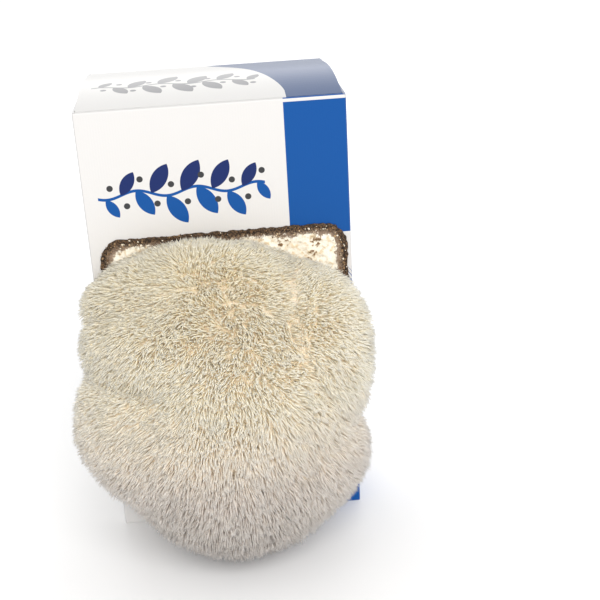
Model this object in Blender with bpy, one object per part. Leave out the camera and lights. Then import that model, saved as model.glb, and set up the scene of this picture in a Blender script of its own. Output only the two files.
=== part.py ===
"""A lion's mane mushroom that has grown out of the window in its carton.

Three pieces: the folded carton, the block of substrate that fills it, and the
fruit body that hangs in front of the window. Lengths are metres, +Z is up, the
window looks towards -Y, and the origin is the middle of the carton's base.
"""

import bmesh
import bpy
import numpy as np

# The folded carton and its board.
CARTON_WIDTH = 0.160
CARTON_DEPTH = 0.125
CARTON_HEIGHT = 0.280
BOARD = 0.0015
FOLD_RADIUS = 0.0009
FOLD_SEGMENTS = 3
FOLD_ANGLE = 50
FRONT = -CARTON_DEPTH / 2
BACK = CARTON_DEPTH / 2

# The lid bows up a little between its hinge at the back and its tucked front.
LID_BOW = 0.0060
LID_BOW_SKEW = 1.2
LID_STEPS = 32
LID_UNDERSIDE_RISE = 0.0046
LID_UNDERSIDE_MARGIN = 0.0065
LID_CHEEK = 0.0032
LID_SLIT = 0.0005
LID_SLIT_DEPTH = 0.0012
LID_SIDE_MARGIN = 0.0014

# The window in the front panel.
WINDOW_WIDTH = 0.151
WINDOW_HEIGHT = 0.110
WINDOW_TOP = 0.201
WINDOW_CENTRE_X = 0.0015
WINDOW_RADIUS = 0.014
CORNER_STEPS = 6

# The substrate block, and the face of it that fills the window.
BLOCK_PLAY = 0.0010
BLOCK_HEIGHT = 0.262
BLOCK_CORNER_RADIUS = 0.009
BLOCK_EDGE_RADIUS = 0.004
BLOCK_EDGE_SEGMENTS = 2
BLOCK_EDGE_ANGLE = 60
FACE_PLAY = 0.0005
FACE_PROUD = 0.0007
FACE_LUMP = 0.0003
FACE_RINGS = 7
FACE_INNER_SHARE = 0.9

# The waves of that face's lumps, in radians a metre: one along x and one along z,
# each bent by a slower wave the other way, and one across both.
LUMP_X_WAVE = 310.0
LUMP_X_BEND = 1.3
LUMP_X_BEND_WAVE = 170.0
LUMP_Z_WAVE = 270.0
LUMP_Z_START = 2.1
LUMP_Z_BEND = 1.1
LUMP_Z_BEND_WAVE = 190.0
LUMP_CROSS_WAVE = 520.0

# The gap that touching pieces keep.
TOUCH_GAP = 0.0003
NEARLY_ZERO = 1e-6

# The fruit body: the envelope that its spine tips reach, as lobes that run
# into each other. Each lobe is an ellipsoid: centre, then half lengths.
LOBES = {
    "collar": ((-0.019, -0.082, 0.1685), (0.067, 0.036, 0.0340)),
    "upper": ((-0.009, -0.092, 0.1485), (0.082, 0.050, 0.046)),
    "middle": ((0.011, -0.102, 0.118), (0.067, 0.055, 0.0525)),
    "right": ((0.048, -0.097, 0.139), (0.0365, 0.044, 0.047)),
    "lower": ((-0.008, -0.104, 0.084), (0.081, 0.054, 0.054)),
    "left": ((-0.055, -0.094, 0.1025), (0.044, 0.042, 0.0425)),
    "lower_right": ((0.034, -0.098, 0.070), (0.047, 0.048, 0.037)),
    "bottom": ((-0.0015, -0.105, 0.056), (0.059, 0.049, 0.051)),
}
CORE = (-0.004, -0.090, 0.112)
LOBE_BLEND = 0.010
FRUIT_BACK = FRONT - FACE_PROUD - FACE_LUMP - TOUCH_GAP

# The spines: one hanging tooth on each facet of the lobes.
SPINE_ROOTS = 1300
SPINE_LENGTH = 0.010
SPINE_VARIATION = 0.16
SPINE_DROOP = 0.40
FLOOR_CLEARANCE = 0.0015
GOLDEN_ANGLE = np.pi * (3.0 - np.sqrt(5.0))
SEED = 7

# Plain finishes: colour, then roughness.
BOARD_FINISH = ((0.91, 0.92, 0.92, 1.0), 0.45)
SUBSTRATE_FINISH = ((0.62, 0.52, 0.38, 1.0), 0.9)
FRUIT_FINISH = ((0.72, 0.61, 0.44, 1.0), 0.85)


def clear_scene():
    """Remove whatever the new file holds."""
    for thing in list(bpy.data.objects):
        bpy.data.objects.remove(thing, do_unlink=True)


def material(name, colour, roughness):
    """A matt Principled material of one colour."""
    made = bpy.data.materials.new(name)
    made.use_nodes = True
    shader = made.node_tree.nodes["Principled BSDF"]
    shader.inputs["Base Color"].default_value = colour
    shader.inputs["Roughness"].default_value = roughness
    shader.inputs["Metallic"].default_value = 0.0
    return made


def add_object(name, mesh_builder, finish=None):
    """Put a finished bmesh into the scene under a name, and free it."""
    mesh = bpy.data.meshes.new(name)
    bmesh.ops.recalc_face_normals(mesh_builder, faces=mesh_builder.faces)
    mesh_builder.to_mesh(mesh)
    mesh_builder.free()
    if finish is not None:
        mesh.materials.append(finish)
    thing = bpy.data.objects.new(name, mesh)
    bpy.context.scene.collection.objects.link(thing)
    return thing


def prism(name, outline, start, end, finish=None):
    """A closed prism: a flat outline of 3-D points, moved from start to end."""
    builder = bmesh.new()
    base = [builder.verts.new(tuple(point + start)) for point in outline]
    face = builder.faces.new(base)
    moved = bmesh.ops.extrude_face_region(builder, geom=[face])["geom"]
    raised = [item for item in moved if isinstance(item, bmesh.types.BMVert)]
    bmesh.ops.translate(builder, verts=raised, vec=tuple(end - start))
    return add_object(name, builder, finish)


def box(name, low, high):
    """A box between two corners."""
    low, high = np.array(low), np.array(high)
    floor = [(low[0], low[1]), (high[0], low[1]), (high[0], high[1]), (low[0], high[1])]
    outline = np.array([(x, y, 0.0) for x, y in floor])
    return prism(name, outline, np.array((0, 0, low[2])), np.array((0, 0, high[2])))


def rounded_rectangle(width, height, radius):
    """The outline of a rectangle with round corners about (0, 0), as (u, v) rows."""
    corners = ((1, 1, 0.0), (-1, 1, 0.5), (-1, -1, 1.0), (1, -1, 1.5))
    sweep = np.linspace(0.0, 0.5, CORNER_STEPS + 1) * np.pi
    points = []
    for side_u, side_v, quarter in corners:
        angle = quarter * np.pi + sweep
        centre_u = side_u * (width / 2 - radius)
        centre_v = side_v * (height / 2 - radius)
        u = centre_u + radius * np.cos(angle)
        v = centre_v + radius * np.sin(angle)
        points.append(np.stack([u, v], axis=1))
    return np.concatenate(points)


def use_as_cutter(cutter):
    """Keep a cutter out of the model and draw it as wire."""
    cutter.hide_render = True
    cutter.display_type = "WIRE"


def combine(target, other, operation):
    """Cut another object from the target, or join it to the target."""
    boolean = target.modifiers.new(other.name, "BOOLEAN")
    boolean.object = other
    boolean.operation = operation
    boolean.solver = "EXACT"
    use_as_cutter(other)


def soften_edges(target, width, segments, degrees):
    """Round the edges of a piece that are sharper than an angle."""
    bevel = target.modifiers.new("edges", "BEVEL")
    bevel.width = width
    bevel.segments = segments
    bevel.limit_method = "ANGLE"
    bevel.angle_limit = np.radians(degrees)


def carton_profile():
    """The carton from the side: square below, with the bowed lid on top."""
    along = np.linspace(0.0, 1.0, LID_STEPS + 1)
    lid_y = BACK - along * CARTON_DEPTH
    lid_z = CARTON_HEIGHT + LID_BOW * np.sin(np.pi * along ** LID_BOW_SKEW)
    y = np.concatenate([[FRONT, BACK], lid_y])
    z = np.concatenate([[0.0, 0.0], lid_z])
    return np.stack([np.zeros_like(y), y, z], axis=1)


def under_lid_profile():
    """The hollow under the lid, from the side: flat below, and bowed like the lid above."""
    along = np.linspace(0.0, 1.0, LID_STEPS // 2 + 1)
    reach = CARTON_DEPTH / 2 - LID_UNDERSIDE_MARGIN
    arch_y = reach * (1.0 - 2.0 * along)
    ceiling = CARTON_HEIGHT - BOARD
    arch_z = ceiling + LID_UNDERSIDE_RISE * np.sin(np.pi * along ** LID_BOW_SKEW)
    y = np.concatenate([[-reach, reach], arch_y[1:-1]])
    z = np.concatenate([[ceiling - 2 * BOARD, ceiling - 2 * BOARD], arch_z[1:-1]])
    return np.stack([np.zeros_like(y), y, z], axis=1)


def window_outline(inset):
    """The window's outline in the front panel, drawn in by an inset."""
    shape = rounded_rectangle(WINDOW_WIDTH - 2 * inset, WINDOW_HEIGHT - 2 * inset, WINDOW_RADIUS - inset)
    x = WINDOW_CENTRE_X + shape[:, 0]
    z = WINDOW_TOP - WINDOW_HEIGHT / 2 + shape[:, 1]
    return np.stack([x, np.zeros_like(x), z], axis=1)


def build_carton():
    """The carton: bowed lid, hollow inside, window, and the slits round the lid."""
    half = CARTON_WIDTH / 2
    left, right = np.array((-half, 0, 0)), np.array((half, 0, 0))
    finish = material("printed_board", *BOARD_FINISH)
    carton = prism("carton", carton_profile(), left, right, finish)
    soften_edges(carton, FOLD_RADIUS, FOLD_SEGMENTS, FOLD_ANGLE)

    inside_low = (-half + BOARD, FRONT + BOARD, BOARD)
    inside_high = (half - BOARD, BACK - BOARD, CARTON_HEIGHT - BOARD)
    combine(carton, box("cut_inside", inside_low, inside_high), "DIFFERENCE")
    cheek = np.array((half - LID_CHEEK, 0, 0))
    combine(carton, prism("cut_under_lid", under_lid_profile(), -cheek, cheek), "DIFFERENCE")

    outside = np.array((0, FRONT - BOARD, 0))
    inside = np.array((0, FRONT + 2 * BOARD, 0))
    combine(carton, prism("cut_window", window_outline(0.0), outside, inside), "DIFFERENCE")

    slit_floor = CARTON_HEIGHT - LID_SLIT_DEPTH
    above = CARTON_HEIGHT + 2 * LID_BOW
    tuck = FRONT + BOARD
    lid_edge = half - LID_SIDE_MARGIN
    front_slit = box("cut_front_slit", (-lid_edge, tuck, slit_floor), (lid_edge, tuck + LID_SLIT, above))
    combine(carton, front_slit, "DIFFERENCE")
    for name, side in (("left", -1), ("right", 1)):
        edges = sorted((side * lid_edge, side * (lid_edge - LID_SLIT)))
        slit = box(f"cut_{name}_slit", (edges[0], tuck, slit_floor), (edges[1], BACK - BOARD, above))
        combine(carton, slit, "DIFFERENCE")
        edges = sorted((side * (lid_edge - LID_SLIT / 2), side * 2 * half))
        ledge = box(f"cut_{name}_ledge", (edges[0], 2 * FRONT, CARTON_HEIGHT), (edges[1], 2 * BACK, above))
        combine(carton, ledge, "DIFFERENCE")
    return carton


def lump(x, z):
    """The uneven face of the block: three crossing waves, between -1 and 1."""
    first = np.sin(x * LUMP_X_WAVE + LUMP_X_BEND * np.sin(z * LUMP_X_BEND_WAVE))
    second = np.sin(z * LUMP_Z_WAVE + LUMP_Z_START + LUMP_Z_BEND * np.sin(x * LUMP_Z_BEND_WAVE))
    third = np.sin((x + z) * LUMP_CROSS_WAVE)
    return (first + second + third) / 3.0


def window_face():
    """The part of the block that fills the window: rings of lumps round its middle."""
    builder = bmesh.new()
    rings = []
    middle_inset = WINDOW_RADIUS * FACE_INNER_SHARE
    back = window_outline(FACE_PLAY)
    back[:, 1] = FRONT + BOARD + BLOCK_PLAY + BLOCK_EDGE_RADIUS
    rings.append([builder.verts.new(tuple(point)) for point in back])
    for inset in np.linspace(FACE_PLAY, middle_inset, FACE_RINGS):
        ring = window_outline(inset)
        ring[:, 1] = FRONT - FACE_PROUD - FACE_LUMP * lump(ring[:, 0], ring[:, 2])
        rings.append([builder.verts.new(tuple(point)) for point in ring])
    for outer, inner in zip(rings[:-1], rings[1:]):
        count = len(outer)
        for start in range(count):
            stop = (start + 1) % count
            builder.faces.new((outer[start], outer[stop], inner[stop], inner[start]))
    builder.faces.new(rings[0])
    flat = builder.faces.new(rings[-1])
    bmesh.ops.triangulate(builder, faces=[flat])
    return add_object("cut_window_face", builder)


def build_block():
    """The substrate block: a round-cornered brick with its face in the window."""
    play = BOARD + BLOCK_PLAY
    plan = rounded_rectangle(CARTON_WIDTH - 2 * play, CARTON_DEPTH - 2 * play, BLOCK_CORNER_RADIUS)
    outline = np.concatenate([plan, np.zeros((len(plan), 1))], axis=1)
    start = np.array((0, 0, BOARD + TOUCH_GAP))
    end = np.array((0, 0, BOARD + TOUCH_GAP + BLOCK_HEIGHT))
    finish = material("grown_substrate", *SUBSTRATE_FINISH)
    block = prism("substrate_block", outline, start, end, finish)
    soften_edges(block, BLOCK_EDGE_RADIUS, BLOCK_EDGE_SEGMENTS, BLOCK_EDGE_ANGLE)
    combine(block, window_face(), "UNION")
    return block


def directions(count):
    """Even directions all round, on a golden spiral from top to bottom."""
    step = np.arange(count) + 0.5
    height = 1.0 - 2.0 * step / count
    ring = np.sqrt(1.0 - height ** 2)
    angle = step * GOLDEN_ANGLE
    return np.stack([ring * np.cos(angle), ring * np.sin(angle), height], axis=1)


def lobe_exits(rays, shrink):
    """Where rays from the core leave each lobe, one row of distances per lobe."""
    exits = []
    for centre, half_lengths in LOBES.values():
        size = np.array(half_lengths) - shrink
        offset = (np.array(CORE) - np.array(centre)) / size
        scaled = rays / size
        a = (scaled ** 2).sum(axis=1)
        b = scaled @ offset
        inside = b ** 2 - a * (offset @ offset - 1.0)
        leave = (np.sqrt(np.maximum(inside, 0.0)) - b) / a
        exits.append(np.where(inside > 0.0, np.maximum(leave, 0.0), 0.0))
    return np.array(exits)


def lobe_surface(rays, shrink):
    """The lobes' joined surface along rays, cut flat behind, and which rays end on the flat."""
    exits = lobe_exits(rays, shrink)
    longest = exits.max(axis=0)
    reach = longest + LOBE_BLEND * np.log(np.exp((exits - longest) / LOBE_BLEND).sum(axis=0))
    behind = rays[:, 1] > NEARLY_ZERO
    to_back = np.where(behind, (FRUIT_BACK - CORE[1]) / np.where(behind, rays[:, 1], 1.0), np.inf)
    flat = to_back < reach
    points = np.array(CORE) + rays * np.minimum(reach, to_back)[:, None]
    return points, flat


def build_fruit_body():
    """The mushroom: joined lobes with a flat back, and a spine on each facet that isn't on that back."""
    rays = directions(SPINE_ROOTS)
    points, flat = lobe_surface(rays, SPINE_LENGTH)
    builder = bmesh.new()
    roots = [builder.verts.new(tuple(ray)) for ray in rays]
    bmesh.ops.convex_hull(builder, input=roots)
    builder.verts.index_update()
    for vertex, point in zip(roots, points):
        vertex.co = tuple(point)
    bmesh.ops.recalc_face_normals(builder, faces=builder.faces)

    spiny = [face for face in builder.faces if not all(flat[vertex.index] for vertex in face.verts)]
    middles = np.array([face.calc_center_median() for face in spiny])
    normals = np.array([face.normal for face in spiny])
    tips = spine_tips(middles, normals)
    poked = bmesh.ops.poke(builder, faces=spiny)["verts"]
    for vertex, tip in zip(poked, tips):
        vertex.co = tuple(tip)
    return add_object("lions_mane_fruit_body", builder, material("mushroom_flesh", *FRUIT_FINISH))


def spine_tips(middles, normals):
    """Tips of the spines: out along the facet, drooping, each of its own length."""
    chance = np.random.default_rng(SEED)
    lean = normals + np.array((0.0, 0.0, -SPINE_DROOP))
    lean /= np.linalg.norm(lean, axis=1)[:, None]
    length = SPINE_LENGTH * (1.0 + SPINE_VARIATION * chance.uniform(-1.0, 1.0, len(middles)))
    tips = middles + lean * length[:, None]
    tips[:, 1] = np.minimum(tips[:, 1], FRUIT_BACK)
    tips[:, 2] = np.maximum(tips[:, 2], FLOOR_CLEARANCE)
    return tips


def main():
    """Build the three pieces."""
    clear_scene()
    build_carton()
    build_block()
    build_fruit_body()


main()
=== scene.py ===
"""Lion's mane mushroom grow kit: a spiny mushroom hanging from the window of its carton.

The carton keeps its solid and gets printed board. The substrate block and the
mushroom are built here in fine mesh, in the place of their plain solids. Lengths
are metres, +Z is up, and the window looks towards -Y.
"""

from __future__ import annotations

import functools
import itertools
import logging
import math
from dataclasses import dataclass, field

import bpy
import numpy as np
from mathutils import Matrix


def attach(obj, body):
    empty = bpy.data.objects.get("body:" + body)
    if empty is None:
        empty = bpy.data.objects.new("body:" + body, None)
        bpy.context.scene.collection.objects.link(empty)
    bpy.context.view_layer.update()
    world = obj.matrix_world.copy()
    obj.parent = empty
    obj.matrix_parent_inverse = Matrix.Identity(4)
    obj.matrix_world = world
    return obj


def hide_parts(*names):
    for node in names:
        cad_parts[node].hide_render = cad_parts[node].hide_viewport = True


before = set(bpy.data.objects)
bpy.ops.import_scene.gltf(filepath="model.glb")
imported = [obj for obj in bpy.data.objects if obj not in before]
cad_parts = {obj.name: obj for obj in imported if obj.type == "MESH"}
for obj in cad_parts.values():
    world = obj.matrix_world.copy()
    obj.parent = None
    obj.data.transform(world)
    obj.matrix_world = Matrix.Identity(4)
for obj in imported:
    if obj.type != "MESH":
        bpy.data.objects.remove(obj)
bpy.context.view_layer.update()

LOG = logging.getLogger("grow_kit")
MM = 0.001
GOLDEN_ANGLE = math.pi * (3.0 - math.sqrt(5.0))
HASH_AXES = np.array((73856093, 19349663, 83492791))
HASH_SEED = 668265263
HASH_MIXERS = ((13, 1274126177), (16, 2246822519))
LOW_32_BITS = 0xFFFFFFFF
PRINT_EDGE = 0.15 * MM
# A spine is a three-sided rod: where its rings and its tip lie along it, and its rings' widths.
ROD_SIDES = 3
ROD_PLACES = np.array((0.0, 0.38, 0.74, 1.0))
ROD_WIDTHS = np.array((1.0, 0.92, 0.56))
Triple = tuple[float, float, float]
Colour = Triple


def srgb(red: int, green: int, blue: int) -> Colour:
    """The linear colour that shaders use, for a screen colour of 0 to 255 a channel."""
    parts = [value / 255.0 for value in (red, green, blue)]
    return tuple(p / 12.92 if p <= 0.04045 else ((p + 0.055) / 1.055) ** 2.4 for p in parts)


def corner_values(corner: np.ndarray, seed: int) -> np.ndarray:
    """A fixed random number for each lattice corner, from an integer hash of its place.

    Args:
        corner: whole-number places, one row each.
        seed: chooses another set of random numbers.

    Returns:
        One value a row, from 0 to 1.
    """
    key = corner * HASH_AXES
    mixed = (key[:, 0] ^ key[:, 1] ^ key[:, 2]) + seed * HASH_SEED
    for shift, factor in HASH_MIXERS:
        mixed = ((mixed ^ (mixed >> shift)) * factor) & LOW_32_BITS
    return (mixed >> 8) / float(1 << 24)


def lattice_noise(points: np.ndarray, cell: float, seed: int) -> np.ndarray:
    """Smooth random values on a cubic lattice, blended between its corners.

    A point's value is that of the eight corners round it, weighted by the smooth
    step 3t^2 - 2t^3 along each axis.

    Args:
        points: places, one row each.
        cell: the lattice spacing.
        seed: chooses another set of random numbers.

    Returns:
        One value a row, between -1 and 1.
    """
    scaled = points / cell
    corner = np.floor(scaled).astype(np.int64)
    part = scaled - corner
    blend = part * part * (3.0 - 2.0 * part)
    total = np.zeros(len(points))
    for step in itertools.product((0, 1), repeat=3):
        value = 2.0 * corner_values(corner + np.array(step), seed) - 1.0
        weight = np.where(np.array(step) == 1, blend, 1.0 - blend).prod(axis=1)
        total += weight * value
    return total


def nearest_centres(points: np.ndarray, cell: float, seed: int) -> np.ndarray:
    """The nearest of many scattered centres, one at a random place in each lattice cell.

    Args:
        points: places, one row each.
        cell: the lattice spacing, about the distance between centres.
        seed: chooses another scatter.

    Returns:
        The nearest centre to each point.
    """
    home = np.floor(points / cell).astype(np.int64)
    nearest = np.zeros_like(points)
    shortest = np.full(len(points), np.inf)
    for step in itertools.product((-1, 0, 1), repeat=3):
        corner = home + np.array(step)
        inside = np.stack([corner_values(corner, seed + axis) for axis in range(3)], axis=1)
        centre = (corner + inside) * cell
        distance = ((centre - points) ** 2).sum(axis=1)
        closer = distance < shortest
        nearest[closer] = centre[closer]
        shortest = np.minimum(shortest, distance)
    return nearest


def unit(vectors: np.ndarray) -> np.ndarray:
    """Vectors of length one, row by row."""
    return vectors / np.maximum(np.linalg.norm(vectors, axis=-1, keepdims=True), 1e-12)


def make_mesh(
    name: str, points: np.ndarray, faces: list[np.ndarray], smooth: bool = True,
) -> bpy.types.Object:
    """Put points and faces, as whole arrays, into a new mesh object.

    Args:
        name: the object's name.
        points: vertex places, one row each.
        faces: arrays of vertex numbers, each with its own count of corners a row.
        smooth: True to shade the faces smooth.

    Returns:
        The object, linked to the scene.
    """
    mesh = bpy.data.meshes.new(name)
    corners = np.concatenate([group.ravel() for group in faces])
    sizes = np.concatenate([np.full(len(group), group.shape[1]) for group in faces])
    mesh.vertices.add(len(points))
    mesh.vertices.foreach_set("co", points.astype(np.float32).ravel())
    mesh.loops.add(len(corners))
    mesh.loops.foreach_set("vertex_index", corners.astype(np.int32))
    mesh.polygons.add(len(sizes))
    mesh.polygons.foreach_set("loop_start", (np.cumsum(sizes) - sizes).astype(np.int32))
    mesh.polygons.foreach_set("use_smooth", np.full(len(sizes), smooth))
    mesh.update(calc_edges=True)
    thing = bpy.data.objects.new(name, mesh)
    bpy.context.scene.collection.objects.link(thing)
    return thing


def add_attribute(thing: bpy.types.Object, name: str, values: np.ndarray) -> None:
    """Store one number for each vertex under a name that a material can read."""
    layer = thing.data.attributes.new(name, "FLOAT", "POINT")
    layer.data.foreach_set("value", values.astype(np.float32))


def grid_faces(rows: int, columns: int) -> np.ndarray:
    """Quads over a grid of points, row by row, where each row's last point joins its first.

    Args:
        rows: how many rows of points.
        columns: how many points in a row.

    Returns:
        Four vertex numbers a quad.
    """
    start = np.arange(rows - 1)[:, None] * columns
    column = np.arange(columns)[None, :]
    following = (column + 1) % columns
    near = (start + column, start + following)
    far = (start + columns + following, start + columns + column)
    return np.stack([*near, *far], axis=-1).reshape(-1, 4)


def fan_faces(ring: np.ndarray, hub: int, flipped: bool = False) -> np.ndarray:
    """Triangles that close a ring of points over one point in its middle.

    Args:
        ring: the ring's vertex numbers, in order.
        hub: the middle's vertex number.
        flipped: True to turn the triangles round.

    Returns:
        Three vertex numbers a triangle.
    """
    following = np.roll(ring, -1)
    sides = (following, ring) if flipped else (ring, following)
    return np.stack([*sides, np.full(len(ring), hub)], axis=1)


def icosahedron() -> tuple[np.ndarray, np.ndarray]:
    """A twenty-sided solid of radius one.

    Its corners are (0, 1, g), (1, g, 0) and (g, 0, 1) with every choice of signs,
    where g is the golden ratio, drawn in to radius one. Three corners that are
    all an edge's length apart make a face.

    Returns:
        Twelve corners, and three corner numbers a face, turned to look outwards.
    """
    golden = (1.0 + math.sqrt(5.0)) / 2.0
    pairs = [(a, b * golden) for a in (-1, 1) for b in (-1, 1)]
    corners = unit(np.array([p for a, b in pairs for p in ((0, a, b), (a, b, 0), (b, 0, a))], float))
    edge = 2.0 / math.hypot(1.0, golden)
    slack = 1.05
    apart = np.linalg.norm(corners[:, None] - corners[None], axis=2)
    near = (apart > 0.0) & (apart < slack * edge)
    trios = itertools.combinations(range(len(corners)), 3)
    faces = np.array([trio for trio in trios if all(near[pair] for pair in itertools.combinations(trio, 2))])
    first, second, third = (corners[faces[:, side]] for side in range(3))
    inward = (np.cross(second - first, third - first) * first).sum(axis=1) < 0.0
    faces[inward] = faces[inward][:, [0, 2, 1]]
    return corners, faces


def turned(vectors: np.ndarray, quaternions: np.ndarray) -> np.ndarray:
    """A group of vectors for each unit quaternion (w, u), turned: v + 2 u x (u x v + w v)."""
    scalar, axis = quaternions[:, None, :1], quaternions[:, None, 1:]
    return vectors + 2.0 * np.cross(axis, np.cross(axis, vectors) + scalar * vectors)


class Wire:
    """A number that flows between material nodes, with the usual arithmetic."""

    def __init__(self, tree: bpy.types.NodeTree, socket: bpy.types.NodeSocket) -> None:
        """Hold a node tree and one of its output sockets."""
        self.tree = tree
        self.socket = socket

    def math(self, operation: str, *others: Wire | float) -> Wire:
        """Feed this number and others to a Math node.

        Args:
            operation: the Math node's operation.
            others: the second and third inputs, wires or plain numbers.

        Returns:
            The node's result.
        """
        node = self.tree.nodes.new("ShaderNodeMath")
        node.operation = operation
        for place, value in enumerate((self, *others)):
            plug(self.tree, node.inputs[place], value)
        return Wire(self.tree, node.outputs[0])

    def __add__(self, other: Wire | float) -> Wire:
        """Sum."""
        return self.math("ADD", other)

    def __sub__(self, other: Wire | float) -> Wire:
        """Difference."""
        return self.math("SUBTRACT", other)

    def __mul__(self, other: Wire | float) -> Wire:
        """Product."""
        return self.math("MULTIPLY", other)

    def __truediv__(self, other: Wire | float) -> Wire:
        """Quotient."""
        return self.math("DIVIDE", other)

    def above(self, edge: Wire | float, blur: float) -> Wire:
        """One where this number is over an edge, zero under it, blurred a little."""
        return ((self - edge) / blur + 0.5).math("MINIMUM", 1.0).math("MAXIMUM", 0.0)

    def below(self, edge: Wire | float, blur: float) -> Wire:
        """One where this number is under an edge, zero over it, blurred a little."""
        return self.above(edge, -blur)

    def between(self, low: float, high: float, blur: float) -> Wire:
        """One between two edges, zero outside them."""
        return self.above(low, blur) * self.below(high, blur)

    def either(self, *others: Wire) -> Wire:
        """The largest of some masks."""
        return functools.reduce(lambda mask, other: mask.math("MAXIMUM", other), others, self)

    def outside(self) -> Wire:
        """A mask turned round: one where it was zero."""
        return self * -1.0 + 1.0

    def distance(self, other: Wire) -> Wire:
        """How far from zero two numbers lie together, as the sides of a right angle."""
        return (self * self + other * other).math("SQRT")


@dataclass(frozen=True)
class Cut:
    """A mask that turns from zero to its strength where a number passes an edge."""

    edge: float
    blur: float
    strength: float = 1.0

    def of(self, value: Wire) -> Wire:
        """The mask of one number. A negative blur turns it round."""
        return value.above(self.edge, self.blur) * self.strength


def plug(tree: bpy.types.NodeTree, socket: bpy.types.NodeSocket, value: object) -> None:
    """Link a wire or a socket to an input, or set the input to a plain value.

    Args:
        tree: the material's nodes.
        socket: the input.
        value: a wire, an output socket, a colour or a number.
    """
    if isinstance(value, Wire):
        tree.links.new(value.socket, socket)
    elif isinstance(value, bpy.types.NodeSocket):
        tree.links.new(value, socket)
    elif isinstance(value, tuple) and len(value) == 3 and socket.type == "RGBA":
        socket.default_value = (*value, 1.0)
    else:
        socket.default_value = value


class Palette:
    """A new material with its shader, its coordinates and the nodes that patterns need."""

    def __init__(self, name: str, roughness: float) -> None:
        """Make a material whose shader has one roughness all over.

        Args:
            name: the material's name.
            roughness: from 0, a mirror, to 1.
        """
        self.material = bpy.data.materials.new(name)
        self.material.use_nodes = True
        self.tree = self.material.node_tree
        self.shader = self.tree.nodes["Principled BSDF"]
        self.shader.inputs["Roughness"].default_value = roughness
        self.place = self.tree.nodes.new("ShaderNodeTexCoord").outputs["Object"]
        split = self.tree.nodes.new("ShaderNodeSeparateXYZ")
        self.tree.links.new(self.place, split.inputs[0])
        self.x, self.y, self.z = (Wire(self.tree, split.outputs[axis]) for axis in "XYZ")

    def noise(self, scale: float, detail: float) -> Wire:
        """Fractal noise on the object's own coordinates.

        Args:
            scale: waves in a metre.
            detail: how many finer layers are added.

        Returns:
            Values about one half.
        """
        node = self.tree.nodes.new("ShaderNodeTexNoise")
        node.inputs["Scale"].default_value = scale
        node.inputs["Detail"].default_value = detail
        self.tree.links.new(self.place, node.inputs["Vector"])
        return Wire(self.tree, node.outputs["Fac"])

    def attribute(self, name: str) -> Wire:
        """Read a number stored on the mesh.

        Args:
            name: what it is stored under.

        Returns:
            The number.
        """
        node = self.tree.nodes.new("ShaderNodeAttribute")
        node.attribute_name = name
        return Wire(self.tree, node.outputs["Fac"])

    def mix(self, mask: Wire, low: object, high: object) -> bpy.types.NodeSocket:
        """Blend two colours by a mask.

        Args:
            mask: zero for the low colour, one for the high one.
            low: a colour or a socket.
            high: a colour or a socket.

        Returns:
            The blended colour's socket.
        """
        node = self.tree.nodes.new("ShaderNodeMix")
        node.data_type = "RGBA"
        plug(self.tree, node.inputs["Factor"], mask)
        plug(self.tree, node.inputs[6], low)
        plug(self.tree, node.inputs[7], high)
        return node.outputs[2]

    def ramp(self, mask: Wire, stops: list[tuple[float, Colour]]) -> bpy.types.NodeSocket:
        """Colours along a mask.

        Args:
            mask: where to read the colours, 0 to 1.
            stops: places and their colours, in order.

        Returns:
            The colour's socket.
        """
        node = self.tree.nodes.new("ShaderNodeValToRGB")
        band = node.color_ramp
        while len(band.elements) < len(stops):
            band.elements.new(0.5)
        for element, (place, colour) in zip(band.elements, stops):
            element.position = place
            element.color = (*colour, 1.0)
        plug(self.tree, node.inputs["Fac"], mask)
        return node.outputs["Color"]

    def bump(self, height: Wire, distance: float, strength: float = 1.0) -> None:
        """Shade the surface as if a pattern stood out from it.

        Args:
            height: the pattern, about 0 to 1.
            distance: how far a height of 1 stands out, in metres.
            strength: how much of the effect is used.
        """
        node = self.tree.nodes.new("ShaderNodeBump")
        node.inputs["Distance"].default_value = distance
        node.inputs["Strength"].default_value = strength
        plug(self.tree, node.inputs["Height"], height)
        self.tree.links.new(node.outputs["Normal"], self.shader.inputs["Normal"])

    def let_light_in(self, share: float, depth: float, reach: Colour) -> None:
        """Let some of the light pass through the surface's outermost part.

        Args:
            share: how much of the colour is light from below the surface.
            depth: how far light travels, in metres.
            reach: how far red, green and blue travel, next to one another.
        """
        self.shader.inputs["Subsurface Weight"].default_value = share
        self.shader.inputs["Subsurface Scale"].default_value = depth
        self.shader.inputs["Subsurface Radius"].default_value = reach

    def finish(self, colour: object) -> bpy.types.Material:
        """Give the shader its colour and hand the material over."""
        plug(self.tree, self.shader.inputs["Base Color"], colour)
        return self.material


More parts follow.
